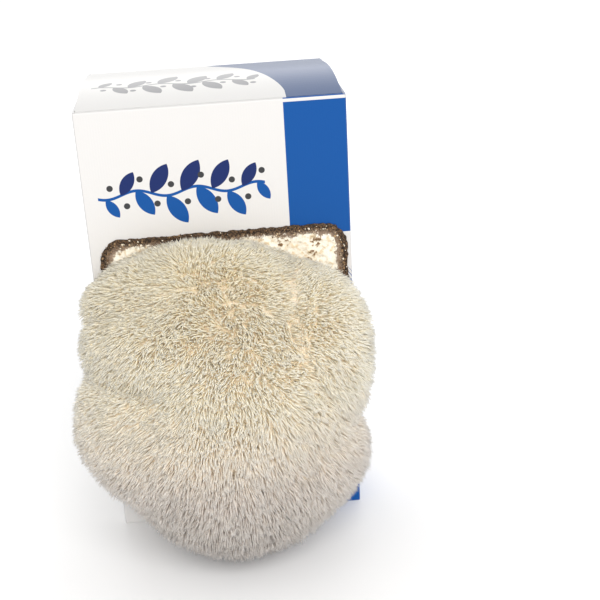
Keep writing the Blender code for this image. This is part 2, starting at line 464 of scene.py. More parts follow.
@dataclass(frozen=True)
class CartonSize:
    """The carton's real sizes, as its solid has them."""

    width: float = 0.160
    depth: float = 0.125
    height: float = 0.280
    board: float = 0.0015
    window_width: float = 0.151
    window_height: float = 0.110
    window_top: float = 0.201
    window_x: float = 0.0015
    window_radius: float = 0.014
    least_radius: float = 0.3 * MM

    @property
    def front(self) -> float:
        """Where the front panel's face lies along Y."""
        return -self.depth / 2.0

    @property
    def window_middle(self) -> np.ndarray:
        """The middle of the window, as x and z."""
        return np.array((self.window_x, self.window_top - self.window_height / 2.0))

    def window_outline(self, inset: float, arc_steps: int, side_steps: int) -> np.ndarray:
        """Points along the window's rounded rectangle, drawn in by an inset.

        Each quarter is an arc about its corner's centre, and straight runs join
        the arcs, with the same number of points on every inset.

        Args:
            inset: how far inside the window's edge.
            arc_steps: points on each corner's arc.
            side_steps: points on each straight run.

        Returns:
            Rows of x and z, once round.
        """
        radius = max(self.window_radius - inset, self.least_radius)
        reach_x = self.window_width / 2.0 - inset - radius
        reach_z = self.window_height / 2.0 - inset - radius
        sides = ((1, 1), (-1, 1), (-1, -1), (1, -1))
        arcs = []
        for quarter, (side_x, side_z) in enumerate(sides):
            angle = (quarter + np.linspace(0.0, 1.0, arc_steps)) * math.pi / 2.0
            centre = self.window_middle + np.array((side_x * reach_x, side_z * reach_z))
            arcs.append(centre + radius * np.stack([np.cos(angle), np.sin(angle)], axis=1))
        points = []
        for arc, following in zip(arcs, arcs[1:] + arcs[:1]):
            part = np.linspace(0.0, 1.0, side_steps + 2)[1:-1, None]
            points += [arc, arc[-1] * (1.0 - part) + following[0] * part]
        return np.concatenate(points)


@dataclass(frozen=True)
class Sprig:
    """A wavy stem with leaves and berries, as masks about a local origin."""

    half_length: float = 50.0 * MM
    wave_length: float = 36.0 * MM
    wave_height: float = 2.2 * MM
    stem_half_width: float = 0.9 * MM
    leaves: int = 11
    leaf_length: float = 21.5 * MM
    leaf_shrink: float = 0.45
    leaf_tilt: float = math.radians(58.0)
    leaf_slimness: float = 0.42
    berry_along: float = 3.0 * MM
    berry_off: float = 6.8 * MM
    berry_radius: float = 1.9 * MM

    def leaf(self, x: Wire, z: Wire, angle: float, length: float) -> Wire:
        """One pointed leaf: where two round discs overlap.

        Args:
            x: distance across from the leaf's middle.
            z: distance up from the leaf's middle.
            angle: the way it points, in radians from +X.
            length: tip to tip.

        Returns:
            A mask of the leaf.
        """
        along = x * math.cos(angle) + z * math.sin(angle)
        across = z * math.cos(angle) - x * math.sin(angle)
        offset = length * self.leaf_slimness
        radius = math.hypot(offset, length / 2.0)
        return (across.math("ABSOLUTE") + offset).distance(along).below(radius, PRINT_EDGE)

    def masks(self, across: Wire, up: Wire) -> tuple[Wire, Wire, Wire]:
        """Draw the sprig.

        The stem follows a sine wave. Leaves stand on it in turn, one down and one
        up, longest in the middle. Each has a berry across the stem from it.

        Args:
            across: distance along the sprig.
            up: distance off its middle line.

        Returns:
            Masks of the stem and lower leaves, of the upper leaves, and of the berries.
        """
        turns = 2.0 * math.pi / self.wave_length
        wave = (across * turns).math("SINE") * self.wave_height
        stem = (up - wave).math("ABSOLUTE").below(self.stem_half_width, PRINT_EDGE)
        lower = stem * across.between(-self.half_length, self.half_length, PRINT_EDGE)
        upper = lower * 0.0
        berries = lower * 0.0
        for step in range(self.leaves):
            part = (step + 0.5) / self.leaves * 2.0 - 1.0
            foot = part * self.half_length
            off = self.wave_height * math.sin(turns * foot)
            side = 1.0 if step % 2 else -1.0
            length = self.leaf_length * (1.0 - self.leaf_shrink * part * part)
            angle = side * self.leaf_tilt
            x = foot + 0.5 * length * math.cos(angle)
            z = off + 0.5 * length * math.sin(angle)
            leaf = self.leaf(across - x, up - z, angle, length)
            if side > 0:
                upper = upper.either(leaf)
            else:
                lower = lower.either(leaf)
            away = (across - (foot + self.berry_along)).distance(up - (off - side * self.berry_off))
            berries = berries.either(away.below(self.berry_radius, PRINT_EDGE))
        return lower, upper, berries


@dataclass(frozen=True)
class Hatch:
    """Slanting strokes near the front's right fold, which turn the corner with it."""

    strokes_up: float = 300.0
    strokes_across: float = 420.0
    left: float = 30.0 * MM
    top: float = 172.0 * MM
    empty_height: float = 174.0 * MM
    growth: float = 32.0
    middle_fill: float = 0.55
    closing_height: float = 60.0 * MM
    closing: float = 12.0
    thinning: float = 16.0
    softness: float = 0.06

    def mask(self, ink: Palette, size: CartonSize) -> Wire:
        """Draw the strokes.

        A stroke is the part of each slanting wave that lies under its fill. The
        fill grows downwards from the top to its middle value, grows again lower
        down, where the strokes close up, and falls with the distance back from
        the fold.

        Args:
            ink: the material's nodes.
            size: the carton's sizes.

        Returns:
            A mask of the strokes.
        """
        behind = (ink.y - size.front).math("MAXIMUM", 0.0)
        slant = (ink.z * self.strokes_up + (ink.x + behind) * self.strokes_across).math("FRACT")
        growing = ((ink.z - self.empty_height) * -self.growth).math("MINIMUM", self.middle_fill)
        closing = ((ink.z - self.closing_height) * -self.closing).math("MAXIMUM", 0.0)
        fill = growing + closing - behind * self.thinning
        inside = ink.z.below(self.top, PRINT_EDGE) * ink.x.above(self.left, PRINT_EDGE)
        return slant.below(fill, self.softness) * inside


@dataclass(frozen=True)
class PrintedBoard:
    """Coated white board with plain blue blocks and a leafy branch; the lid's white and blue are darker
    copies, painted shade, and the folds and edges carry grey lines of wear and painted shade.
    """

    white: Colour = (0.705, 0.69, 0.675)
    blue: Colour = srgb(6, 78, 150)
    # Painted shade: the lid's white and blue are darker copies of the front's colours.
    shaded_lid_white: Colour = (0.60, 0.59, 0.575)
    shaded_lid_blue: Colour = srgb(10, 58, 108)
    navy: Colour = srgb(22, 40, 96)
    charcoal: Colour = srgb(60, 60, 62)
    grey: Colour = srgb(120, 120, 122)
    raw: Colour = srgb(222, 212, 196)
    # Grey lines along the folds and the lid's edges: part wear, part painted shade.
    rubbed_and_shaded: Colour = srgb(120, 124, 134)
    roughness: float = 0.32
    sheen: float = 0.22
    block_left: float = 42.5 * MM
    block_low: float = 195.1 * MM
    block_high: float = 277.8 * MM
    back_left: float = 2.0 * MM
    lid_block_left: float = 44.8 * MM
    sweep_start: float = 12.0 * MM
    sweep_length: float = 110.0 * MM
    sweep_width: float = 43.0 * MM
    sweep_power: float = 1.35
    sprig_x: float = -21.0 * MM
    sprig_z: float = 229.0 * MM
    lid_sprig_y: float = 40.0 * MM
    face_skin: float = 0.4 * MM
    side_skin: float = 0.5 * MM
    lid_skin: float = 0.3 * MM
    fold_line: float = 1.2 * MM
    lid_side_wear_and_shade: float = 1.9 * MM
    side_wear_and_shade: float = 0.7 * MM
    wear_and_shade: float = 0.26
    flecks: Cut = Cut(0.62, 0.3, 0.05)
    flute: float = 1.6 * MM

    def lid_block(self, ink: Palette, size: CartonSize) -> Wire:
        """The lid's blue: right of a line that runs straight back and then sweeps left.

        Args:
            ink: the material's nodes.
            size: the carton's sizes.

        Returns:
            A mask of the blue.
        """
        back = ((ink.y - (size.front + self.sweep_start)) / self.sweep_length).math("MAXIMUM", 0.0)
        border = back.math("POWER", self.sweep_power) * -self.sweep_width + self.lid_block_left
        return ink.x.above(border, PRINT_EDGE)

    def make(self, size: CartonSize) -> bpy.types.Material:
        """Build the board's material.

        Args:
            size: the carton's sizes.

        Returns:
            The finished material.
        """
        ink = Palette("printed_board", self.roughness)
        edge = PRINT_EDGE
        half = size.width / 2.0
        front = ink.y.below(size.front + self.face_skin, edge)
        back = ink.y.above(-size.front - self.face_skin, edge)
        right = ink.x.above(half - self.side_skin, edge)
        left = ink.x.below(-half + self.side_skin, edge)
        top = ink.z.above(size.height - self.lid_skin, edge)
        base = ink.z.below(self.lid_skin, edge)
        outer = front.either(back, right, left, top, base)

        band = ink.z.between(self.block_low, self.block_high, edge)
        past_block = ink.x.above(self.block_left, edge)
        walls = (band * front.either(right) * past_block).either(
            band * back * ink.x.above(self.back_left, edge),
            front.either(right) * Hatch().mask(ink, size),
        )
        fold = top * ink.y.below(size.front + self.fold_line, edge) * past_block
        blue = (walls * top.outside()).either(fold)

        sprig_across = ink.x - self.sprig_x
        lower, upper, berries = Sprig().masks(sprig_across, ink.z - self.sprig_z)
        lid_up = (ink.y - (size.front + self.lid_sprig_y)) * -1.0
        lid_stem, *lid_rest = Sprig().masks(sprig_across, lid_up)

        grain = ink.noise(scale=900.0, detail=3.0)
        side = ink.x.math("ABSOLUTE")
        # Grey lines along the folds and edges: part wear, part painted shade that outlines them.
        rub_and_shade = (top * side.above(half - self.lid_side_wear_and_shade, edge)).either(
            front.either(back) * side.above(half - self.side_wear_and_shade, edge),
            top * ink.y.above(-size.front - self.fold_line, edge),
        )
        # The top gets the darker white: painted shade on the lid.
        colour = ink.mix(top, self.white, self.shaded_lid_white)
        for mask, paint in (
            (self.flecks.of(grain), self.raw),
            (top * self.lid_block(ink, size), self.shaded_lid_blue),
            (blue, self.blue),
            (front * lower, self.blue),
            (front * upper, self.navy),
            (front * berries, self.charcoal),
            (top * lid_stem.either(*lid_rest), self.grey),
            (rub_and_shade * self.wear_and_shade, self.rubbed_and_shaded),
        ):
            colour = ink.mix(mask, colour, paint)
        colour = ink.mix(outer, self.raw, colour)
        flutes = (ink.x * (2.0 * math.pi / self.flute)).math("SINE") * 0.15
        ink.bump(flutes + grain * 0.35, distance=0.05 * MM, strength=0.6)
        ink.shader.inputs["Specular IOR Level"].default_value = self.sheen
        return ink.finish(colour)


@dataclass(frozen=True)
class GrownSubstrate:
    """White mycelium over sawdust, dark brown and crumbly at the window's edge."""

    white: Colour = srgb(253, 247, 232)
    cream: Colour = srgb(232, 212, 178)
    brown: Colour = srgb(128, 98, 68)
    dark: Colour = srgb(46, 35, 26)
    web: Colour = srgb(158, 136, 116)
    creamy: Cut = Cut(0.56, 0.16)
    hollow: Cut = Cut(0.24, -0.10)
    bare: Cut = Cut(0.80, 0.05)
    webbed: Cut = Cut(0.62, 0.36)
    barky: Cut = Cut(0.52, 0.14, 0.5)
    flecked: Cut = Cut(0.64, 0.06)
    rim: Cut = Cut(0.0, -0.16)
    web_strength: float = 0.8
    edge_shift: float = -0.13
    edge_wander: float = 1.0
    corner_start: float = 58.0 * MM
    corner_width: float = 17.0

    def make(self) -> bpy.types.Material:
        """Build the material.

        It reads two attributes of the mesh: how far in from the window's edge a
        point is (0 to 1 over ten millimetres), and how far its lump stands out.

        Returns:
            The finished material.
        """
        ink = Palette("grown_substrate", roughness=0.9)
        fine = ink.noise(scale=900.0, detail=4.0)
        specks = ink.noise(scale=380.0, detail=4.0)
        patches = ink.noise(scale=95.0, detail=3.0)
        grown = ink.mix(self.creamy.of(specks), self.white, self.cream)
        hollow = self.hollow.of(ink.attribute("height") * 0.5 + specks * 0.9)
        bare = self.bare.of(patches * 0.7 + specks * 0.6)
        grown = ink.mix(hollow.either(bare), grown, self.brown)
        inset = ink.attribute("inset")
        depth = self.webbed.of(inset + fine * 0.5)
        crumb = ink.mix(self.barky.of(fine), self.dark, self.brown)
        crumb = ink.mix(depth * self.web_strength, crumb, self.web)
        crumb = ink.mix(self.flecked.of(specks) * depth, crumb, self.cream)
        corner = (ink.x.math("ABSOLUTE") - self.corner_start).math("MAXIMUM", 0.0) * self.corner_width
        reach = patches * self.edge_wander + specks * 0.35 + corner + self.edge_shift
        rim = self.rim.of(inset - reach + (fine - 0.5) * 0.5)
        ink.bump(specks + fine * 0.4, distance=0.9 * MM)
        return ink.finish(ink.mix(rim, grown, crumb))


@dataclass(frozen=True)
class LooseCrumb:
    """Bits of bark and sawdust: near black to tan, a few of them white with mycelium."""

    dark: Colour = srgb(40, 30, 22)
    brown: Colour = srgb(118, 88, 60)
    tan: Colour = srgb(196, 164, 122)
    white: Colour = srgb(248, 238, 218)
    spread: float = 0.16

    def make(self) -> bpy.types.Material:
        """Build the material, which reads each crumb's own tone, from 0 to 1.

        Returns:
            The finished material.
        """
        ink = Palette("loose_crumb", roughness=0.9)
        grain = ink.noise(scale=1400.0, detail=3.0)
        ink.bump(grain, distance=0.3 * MM)
        stops = [(0.0, self.dark), (0.45, self.brown), (0.75, self.tan), (0.86, self.white)]
        return ink.finish(ink.ramp(ink.attribute("tone") + (grain - 0.5) * self.spread, stops))


@dataclass(frozen=True)
class SpineFlesh:
    """Cream spines, yellower at the top and pinker low down; tan at the root, partly painted shade in the
    gaps, and grey at the hem, painted shade.
    """

    # Tan at the root: partly the spines' own colour, partly painted shade in the gaps between them.
    root: Colour = srgb(247, 232, 208)
    middle: Colour = srgb(251, 241, 216)
    tip: Colour = srgb(252, 244, 220)
    aged: Colour = srgb(248, 235, 210)
    crown: Colour = srgb(241, 229, 195)
    pink: Colour = srgb(250, 236, 224)
    # Painted shade: grey, darker spines at the hem, on the shaded underside.
    hem: Colour = srgb(155, 146, 142)
    oldest: Cut = Cut(0.75, 0.5, 0.40)
    high: Cut = Cut(0.170, 0.05, 0.7)
    low: Cut = Cut(0.095, -0.06, 0.75)
    lowest: Cut = Cut(0.043, -0.10, 0.95)

    def make(self) -> bpy.types.Material:
        """Build the material, which reads a place along a spine and the spine's own shade.

        Returns:
            The finished material.
        """
        ink = Palette("spine_flesh", roughness=0.62)
        ink.let_light_in(share=0.6, depth=3.0 * MM, reach=(1.0, 0.92, 0.82))
        colour = ink.ramp(ink.attribute("along"), [(0.0, self.root), (0.30, self.middle), (1.0, self.tip)])
        colour = ink.mix(self.oldest.of(ink.attribute("shade")), colour, self.aged)
        # The last tint is painted shade: greyer and darker towards the hem.
        for cut, tint in ((self.high, self.crown), (self.low, self.pink), (self.lowest, self.hem)):
            colour = ink.mix(cut.of(ink.z), colour, tint)
        return ink.finish(colour)


@dataclass(frozen=True)
class InnerFlesh:
    """The tan flesh that shows between the spines' roots: partly its own colour, partly painted shade of the
    gaps.
    """

    # Both tans are darker than the spines, partly as painted shade in the gaps.
    pale: Colour = srgb(245, 232, 208)
    deep: Colour = srgb(225, 207, 181)
    mottled: Cut = Cut(0.5, 0.3)

    def make(self) -> bpy.types.Material:
        """Build the material.

        Returns:
            The finished material.
        """
        ink = Palette("inner_flesh", roughness=0.8)
        ink.let_light_in(share=0.6, depth=4.0 * MM, reach=(1.0, 0.93, 0.85))
        mottle = ink.noise(scale=820.0, detail=2.0)
        ink.bump(mottle, distance=0.8 * MM)
        return ink.finish(ink.mix(self.mottled.of(mottle), self.deep, self.pale))


@dataclass
class Carton:
    """The folded carton: its solid stays, and gets printed board."""

    size: CartonSize = field(default_factory=CartonSize)

    def dress(self) -> bpy.types.Object:
        """Give the carton's solid its board.

        Returns:
            The carton.
        """
        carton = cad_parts["carton"]
        carton.material_slots[0].material = PrintedBoard().make(self.size)
        return carton


@dataclass(frozen=True)
class CrumbScatter:
    """How loose crumbs vary: pairs are a least and a greatest value."""

    count: int = 1500
    radius: tuple[float, float] = (0.35 * MM, 1.05 * MM)
    inset_shape: float = 1.6
    inset: float = 1.5 * MM
    outside: float = 0.5 * MM
    sunk: float = 0.1 * MM
    ledge: float = 0.6 * MM
    ledge_shrink: float = 0.75
    dents: tuple[float, float] = (0.72, 1.18)
    squash: tuple[float, float] = (0.55, 1.25)
    tone: float = 0.62
    tone_power: float = 1.3
    inner_inset: float = 3.0 * MM
    inner_tone: float = 0.30
    white_share: float = 0.06
    white_tone: float = 0.9
    seed: int = 5


@dataclass
class SubstrateBlock:
    """The grown block: a brick inside the carton with a crumbly face in the window.

    Each of the face's first rings has its inset from the window's edge and its
    depth behind the front's outside. Each size of relief has its share, its
    cell and its seed.
    """

    size: CartonSize = field(default_factory=CartonSize)
    play: float = 1.0 * MM
    base_gap: float = 0.3 * MM
    height: float = 262.0 * MM
    corner: float = 9.0 * MM
    plan_points: int = 48
    bevel: float = 2.0 * MM
    bevel_share: float = 0.9
    first_rings: tuple[tuple[float, float], ...] = (
        (0.5 * MM, 4.5 * MM), (0.5 * MM, 0.3 * MM), (-0.5 * MM, -0.1 * MM), (-0.5 * MM, -0.5 * MM),
    )
    ring_step: float = 0.7 * MM
    rings: int = 40
    arc_steps: int = 26
    side_steps: int = 116
    proud: float = 0.4 * MM
    lumps: float = 1.7 * MM
    relief: tuple[tuple[float, float, int], ...] = (
        (0.35, 6.0 * MM, 3), (0.35, 2.6 * MM, 5), (0.15, 1.2 * MM, 7),
    )
    lip_relief: float = 0.5 * MM
    ragged: float = 0.8 * MM
    ragged_cell: float = 1.9 * MM
    ragged_seed: int = 9
    inset_scale: float = 10.0 * MM
    brick_relief: float = 0.6

    def build(self) -> list[bpy.types.Object]:
        """Make the block and its crumbs.

        Returns:
            The face with its brick, and the crumbs, which together stand for the block.
        """
        face_points, face_groups, inset, height = self.face()
        brick_points, brick_groups = self.brick()
        points = np.concatenate([face_points, brick_points])
        groups = face_groups + [group + len(face_points) for group in brick_groups]
        block = make_mesh("grown_block", points, groups)
        spare = len(brick_points)
        add_attribute(block, "inset", np.concatenate([inset, np.ones(spare)]))
        add_attribute(block, "height", np.concatenate([height, np.full(spare, self.brick_relief)]))
        block.data.materials.append(GrownSubstrate().make())
        crumbs = self.crumbs(CrumbScatter())
        for piece in (block, crumbs):
            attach(piece, "root")
            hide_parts("substrate_block")
        return [block, crumbs]

    def lump(self, places: np.ndarray) -> np.ndarray:
        """The face's relief: lattice noise in a few sizes about one half, from 0 to about 1."""
        waves = sum(share * lattice_noise(places, cell, seed) for share, cell, seed in self.relief)
        return np.clip(0.5 + waves, 0.0, 1.1)

    def face(self) -> tuple[np.ndarray, list[np.ndarray], np.ndarray, np.ndarray]:
        """The window's filling: rings that follow the window, pushed out by noise.

        The first rings come out of the brick and over the board's edge as a thin
        ragged lip. The rest close in on the middle, ring by ring, each a fixed
        step further in, and every point stands out by the relief at its place.

        Returns:
            Points, groups of faces, each point's inset (1 is 10 mm) and its relief.
        """
        size = self.size
        start, depths = np.array(self.first_rings).T
        insets = np.concatenate([start, self.ring_step * np.arange(0.5, self.rings)])
        rings = np.stack([size.window_outline(inset, self.arc_steps, self.side_steps) for inset in insets])
        count = rings.shape[1]
        flat = np.zeros((len(insets), count, 3))
        flat[:, :, [0, 2]] = rings
        height = self.lump(flat.reshape(-1, 3)).reshape(len(insets), count)
        flat[:, :, 1] = size.front - self.proud - self.lumps * height
        flat[:len(start), :, 1] = size.front + depths[:, None]
        lip = len(start) - 1
        flat[lip, :, 1] -= self.lip_relief * height[lip]
        wander = lattice_noise(flat[lip], self.ragged_cell, self.ragged_seed)[:, None]
        flat[lip - 1:lip + 1, :, [0, 2]] += self.ragged * wander * unit(rings[lip] - size.window_middle)
        points = np.concatenate([flat.reshape(-1, 3), flat[-1].mean(axis=0)[None]])
        last = (len(insets) - 1) * count + np.arange(count)
        faces = [grid_faces(len(insets), count), fan_faces(last, len(points) - 1)]
        inset = np.append(np.repeat(np.clip(insets / self.inset_scale, 0.0, 1.0), count), 1.0)
        return points, faces, inset, np.append(height, 0.5)

    def crumbs(self, loose: CrumbScatter) -> bpy.types.Object:
        """Loose crumbs along the window's edge: small dented icosahedrons.

        Each crumb is the same twenty-sided solid, turned at random, squashed along
        its own axes and set at a random place on the edge, most of them within a
        few millimetres of it and some on the board beside it.

        Args:
            loose: how the crumbs vary.

        Returns:
            The crumbs, as one piece.
        """
        chance = np.random.default_rng(loose.seed)
        corners, faces = icosahedron()
        count = loose.count
        outline = self.size.window_outline(0.0, self.arc_steps, self.side_steps)
        edge = outline[chance.integers(0, len(outline), count)]
        smallest, largest = loose.radius
        radius = smallest + (largest - smallest) * chance.random(count) ** 2.0
        inset = chance.gamma(loose.inset_shape, loose.inset, count) - loose.outside
        place = np.zeros((count, 3))
        place[:, [0, 2]] = edge + unit(self.size.window_middle - edge) * inset[:, None]
        place[:, 1] = self.size.front - self.proud - self.lumps * self.lump(place) + loose.sunk
        beside = inset < loose.ledge
        place[beside, 1] = self.size.front - 0.5 * radius[beside]
        radius = np.where(beside, loose.ledge_shrink * radius, radius)

        turns = unit(chance.normal(size=(count, 4)))
        dented = corners[None] * chance.uniform(*loose.dents, (count, len(corners), 1))
        dented *= chance.uniform(*loose.squash, (count, 1, 3)) * radius[:, None, None]
        points = turned(dented, turns) + place[:, None]
        start = len(corners) * np.arange(count)[:, None, None]
        numbered = (faces[None] + start).reshape(-1, 3)
        crumbs = make_mesh("window_crumbs", points.reshape(-1, 3), [numbered], smooth=False)
        tone = loose.tone * chance.random(count) ** loose.tone_power
        tone += np.where(inset > loose.inner_inset, loose.inner_tone, 0.0)
        tone = np.where(chance.random(count) < loose.white_share, loose.white_tone, tone)
        add_attribute(crumbs, "tone", np.repeat(tone, len(corners)))
        crumbs.data.materials.append(LooseCrumb().make())
        return crumbs

    def brick(self) -> tuple[np.ndarray, list[np.ndarray]]:
        """The brick: a rounded rectangle carried up the block's height, closed at both ends.

        Returns:
            Points, and groups of faces.
        """
        size = self.size
        reach = np.array((size.width, size.depth)) / 2.0 - (size.board + self.play + self.corner)
        count = self.plan_points
        angle = (np.arange(count) + 0.25) * 2.0 * math.pi / count
        way = np.stack([np.cos(angle), np.sin(angle)], axis=1)
        plan = np.sign(way) * reach + way * self.corner
        low = size.board + self.base_gap
        high = low + self.height
        shares = (self.bevel_share, 1.0, 1.0, self.bevel_share)
        heights = (low, low + self.bevel, high - self.bevel, high)
        rings = [np.column_stack([plan * share, np.full(count, z)]) for share, z in zip(shares, heights)]
        points = np.concatenate([[[0.0, 0.0, low]], *rings, [[0.0, 0.0, high]]])
        first = 1 + np.arange(count)
        last = first + (len(rings) - 1) * count
        caps = [fan_faces(first, 0, flipped=True), fan_faces(last, len(points) - 1)]
        return points, [grid_faces(len(rings), count) + 1, *caps]


@dataclass(frozen=True)
class Lobe:
    """One swelling of the mushroom: an ellipsoid that the spines' tips reach."""

    centre: Triple
    half: Triple


@dataclass(frozen=True)
class Tuft:
    """Spines in cells of one size that gather, lean and grow together."""

    cell: float
    pull: float
    lean: float
    centre_seed: int
    length_seed: int
    lean_seeds: tuple[int, int, int] = (51, 52, 53)
    noise_share: float = 0.4

    def shared(self, centres: np.ndarray, seed: int) -> np.ndarray:
        """Random values, the same for a whole tuft: noise read at its middle."""
        return lattice_noise(centres, self.noise_share * self.cell, seed)


@dataclass
class FruitBody:
    """The mushroom: a lobed body, flat behind, with hanging spines all over."""

    lobes: dict[str, Lobe] = field(default_factory=lambda: {
        "collar": Lobe((-0.019, -0.082, 0.1685), (0.067, 0.036, 0.0340)),
        "upper": Lobe((-0.009, -0.092, 0.1485), (0.082, 0.050, 0.046)),
        "middle": Lobe((0.011, -0.102, 0.118), (0.067, 0.055, 0.0525)),
        "right": Lobe((0.048, -0.097, 0.139), (0.0365, 0.044, 0.047)),
        "lower": Lobe((-0.008, -0.104, 0.084), (0.081, 0.054, 0.054)),
        "left": Lobe((-0.055, -0.094, 0.1025), (0.044, 0.042, 0.0425)),
        "lower_right": Lobe((0.034, -0.098, 0.070), (0.047, 0.048, 0.037)),
        "bottom": Lobe((-0.0015, -0.105, 0.056), (0.059, 0.049, 0.051)),
    })
    core: Triple = (-0.004, -0.090, 0.112)
    blend: float = 10.0 * MM
    back: float = -63.8 * MM
    body_rows: int = 90
    body_columns: int = 160
    spine_length: float = 10.0 * MM
    flesh_depth: float = 7.8 * MM
    spine_count: int = 57500
    candidates: int = 170000
    pieces: int = 5
    root_radius: float = 0.72 * MM
    unevenness: float = 0.15
    tuft_unevenness: float = 0.7
    droop: float = 0.22
    curl: float = 0.18
    tufts: tuple[Tuft, ...] = (
        Tuft(8.0 * MM, 0.20, 2.2 * MM, centre_seed=31, length_seed=61),
        Tuft(2.9 * MM, 0.52, 1.9 * MM, centre_seed=41, length_seed=62),
    )
    tuft_power: float = 1.5
    splay: float = 0.65
    sway_cell: float = 16.0 * MM
    sway: float = 0.30
    sway_seeds: tuple[int, int, int] = (21, 22, 23)
    stray: float = 0.09
    area_cap: float = 6.0
    nudge: float = 0.002
    off_axis: Triple = (0.31, 0.22, 0.93)
    sunk: float = 0.5 * MM
    thickness: tuple[float, float] = (0.8, 1.2)
    shade_cell: float = 7.0 * MM
    shade_seed: int = 41
    lowest: float = 1.0 * MM
    seed: int = 11

    def exits(self, rays: np.ndarray, shrink: float) -> np.ndarray:
        """Where rays from the core leave each lobe.

        Args:
            rays: directions of length one.
            shrink: how much to take off every lobe's half lengths.

        Returns:
            One row of distances for each lobe; zero where a ray misses it.
        """
        rows = []
        for lobe in self.lobes.values():
            half = np.array(lobe.half) - shrink
            offset = (np.array(self.core) - np.array(lobe.centre)) / half
            scaled = rays / half
            a = (scaled ** 2).sum(axis=1)
            b = scaled @ offset
            inside = b ** 2 - a * (offset @ offset - 1.0)
            leave = (np.sqrt(np.maximum(inside, 0.0)) - b) / a
            rows.append(np.where(inside > 0.0, np.maximum(leave, 0.0), 0.0))
        return np.array(rows)

    def surface(self, rays: np.ndarray, shrink: float) -> tuple[np.ndarray, np.ndarray]:
        """The lobes' joined surface, cut flat behind.

        The distance along a ray is the soft maximum of the lobes' own distances:
        their largest plus the logarithm of the sum of exponentials of what the
        others fall short by. Where that passes the flat back, the ray stops there.

        Args:
            rays: directions of length one.
            shrink: how much to take off every lobe's half lengths.

        Returns:
            Points, and which of them lie on the flat back.
        """
        exits = self.exits(rays, shrink)
        longest = exits.max(axis=0)
        reach = longest + self.blend * np.log(np.exp((exits - longest) / self.blend).sum(axis=0))
        behind = rays[:, 1] > 1e-6
        to_back = np.where(behind, (self.back - self.core[1]) / np.where(behind, rays[:, 1], 1.0), np.inf)
        points = np.array(self.core) + rays * np.minimum(reach, to_back)[:, None]
        return points, to_back < reach

    def body(self) -> bpy.types.Object:
        """The flesh under the spines: the joined surface on a grid round the Y axis.

        Returns:
            The flesh, as one piece.
        """
        rows, columns = self.body_rows, self.body_columns
        polar = np.linspace(0.0, math.pi, rows + 2)[1:-1]
        around = np.linspace(0.0, 2.0 * math.pi, columns + 1)[:-1]
        tilt, turn = np.meshgrid(polar, around, indexing="ij")
        rays = np.stack([np.sin(tilt) * np.cos(turn), -np.cos(tilt), np.sin(tilt) * np.sin(turn)], axis=-1)
        rays = np.concatenate([rays.reshape(-1, 3), [[0.0, -1.0, 0.0], [0.0, 1.0, 0.0]]])
        points = self.surface(rays, self.flesh_depth)[0]
        first = np.arange(columns)
        last = (rows - 1) * columns + first
        pole = rows * columns
        caps = [fan_faces(first, pole, flipped=True), fan_faces(last, pole + 1)]
        flesh = make_mesh("mushroom_flesh", points, [grid_faces(rows, columns), *caps])
        flesh.data.materials.append(InnerFlesh().make())
        return flesh

    def outward(self, rays: np.ndarray, points: np.ndarray) -> np.ndarray:
        """The way out from the middle of the lobe that each point is on.

        Where lobes run into each other, their middles are averaged, each weighted
        by how far out it reaches along the point's ray.

        Args:
            rays: directions of length one from the core.
            points: the surface's points along them.

        Returns:
            Directions of length one.
        """
        exits = self.exits(rays, self.spine_length)
        weight = np.exp((exits - exits.max(axis=0)) / self.blend)
        middles = np.array([lobe.centre for lobe in self.lobes.values()])
        return unit(points - (weight / weight.sum(axis=0)).T @ middles)

    def roots(self, chance: np.random.Generator) -> tuple[np.ndarray, np.ndarray, np.ndarray]:
        """Choose where spines grow, evenly over the area of the flesh.

        Directions on a golden spiral are kept by chance, in proportion to the
        area that each stands for. The area and the outward normal come from the
        cross product of two small steps along the surface.

        Args:
            chance: the random numbers.

        Returns:
            Root points, normals, and the ways out from the lobes' middles.
        """
        step = np.arange(self.candidates) + 0.5
        height = 1.0 - 2.0 * step / self.candidates
        ring = np.sqrt(1.0 - height ** 2)
        turn = step * GOLDEN_ANGLE
        rays = np.stack([ring * np.cos(turn), ring * np.sin(turn), height], axis=1)
        points, flat = self.surface(rays, self.spine_length)
        side = unit(np.cross(rays, np.array(self.off_axis)))
        rise = np.cross(rays, side)
        nudged = [unit(rays + self.nudge * way) for way in (side, rise)]
        normal = np.cross(*(self.surface(ray, self.spine_length)[0] - points for ray in nudged))
        area = np.linalg.norm(normal, axis=1)
        normal *= np.sign((normal * rays).sum(axis=1))[:, None]
        weight = np.where(flat, 0.0, np.minimum(area, self.area_cap * np.median(area)))
        keep = chance.random(len(rays)) < weight * (self.spine_count / weight.sum())
        return points[keep], unit(normal[keep]), self.outward(rays[keep], points[keep])

    def leans(
        self, roots: np.ndarray, normals: np.ndarray, outward: np.ndarray, chance: np.random.Generator,
    ) -> np.ndarray:
        """The way each spine points.

        A spine points between its normal and the way out from its lobe's middle.
        It droops a little, sways with its neighbours by slow lattice noise, and
        strays a few degrees on its own.

        Args:
            roots: root points.
            normals: outward normals.
            outward: ways out from the lobes' middles.
            chance: the random numbers.

        Returns:
            Directions of length one.
        """
        sway = np.stack([lattice_noise(roots, self.sway_cell, seed) for seed in self.sway_seeds], axis=1)
        stray = chance.normal(0.0, self.stray, roots.shape)
        lean = (1.0 - self.splay) * normals + self.splay * outward + self.sway * sway + stray
        lean[:, 2] -= self.droop
        return unit(lean)

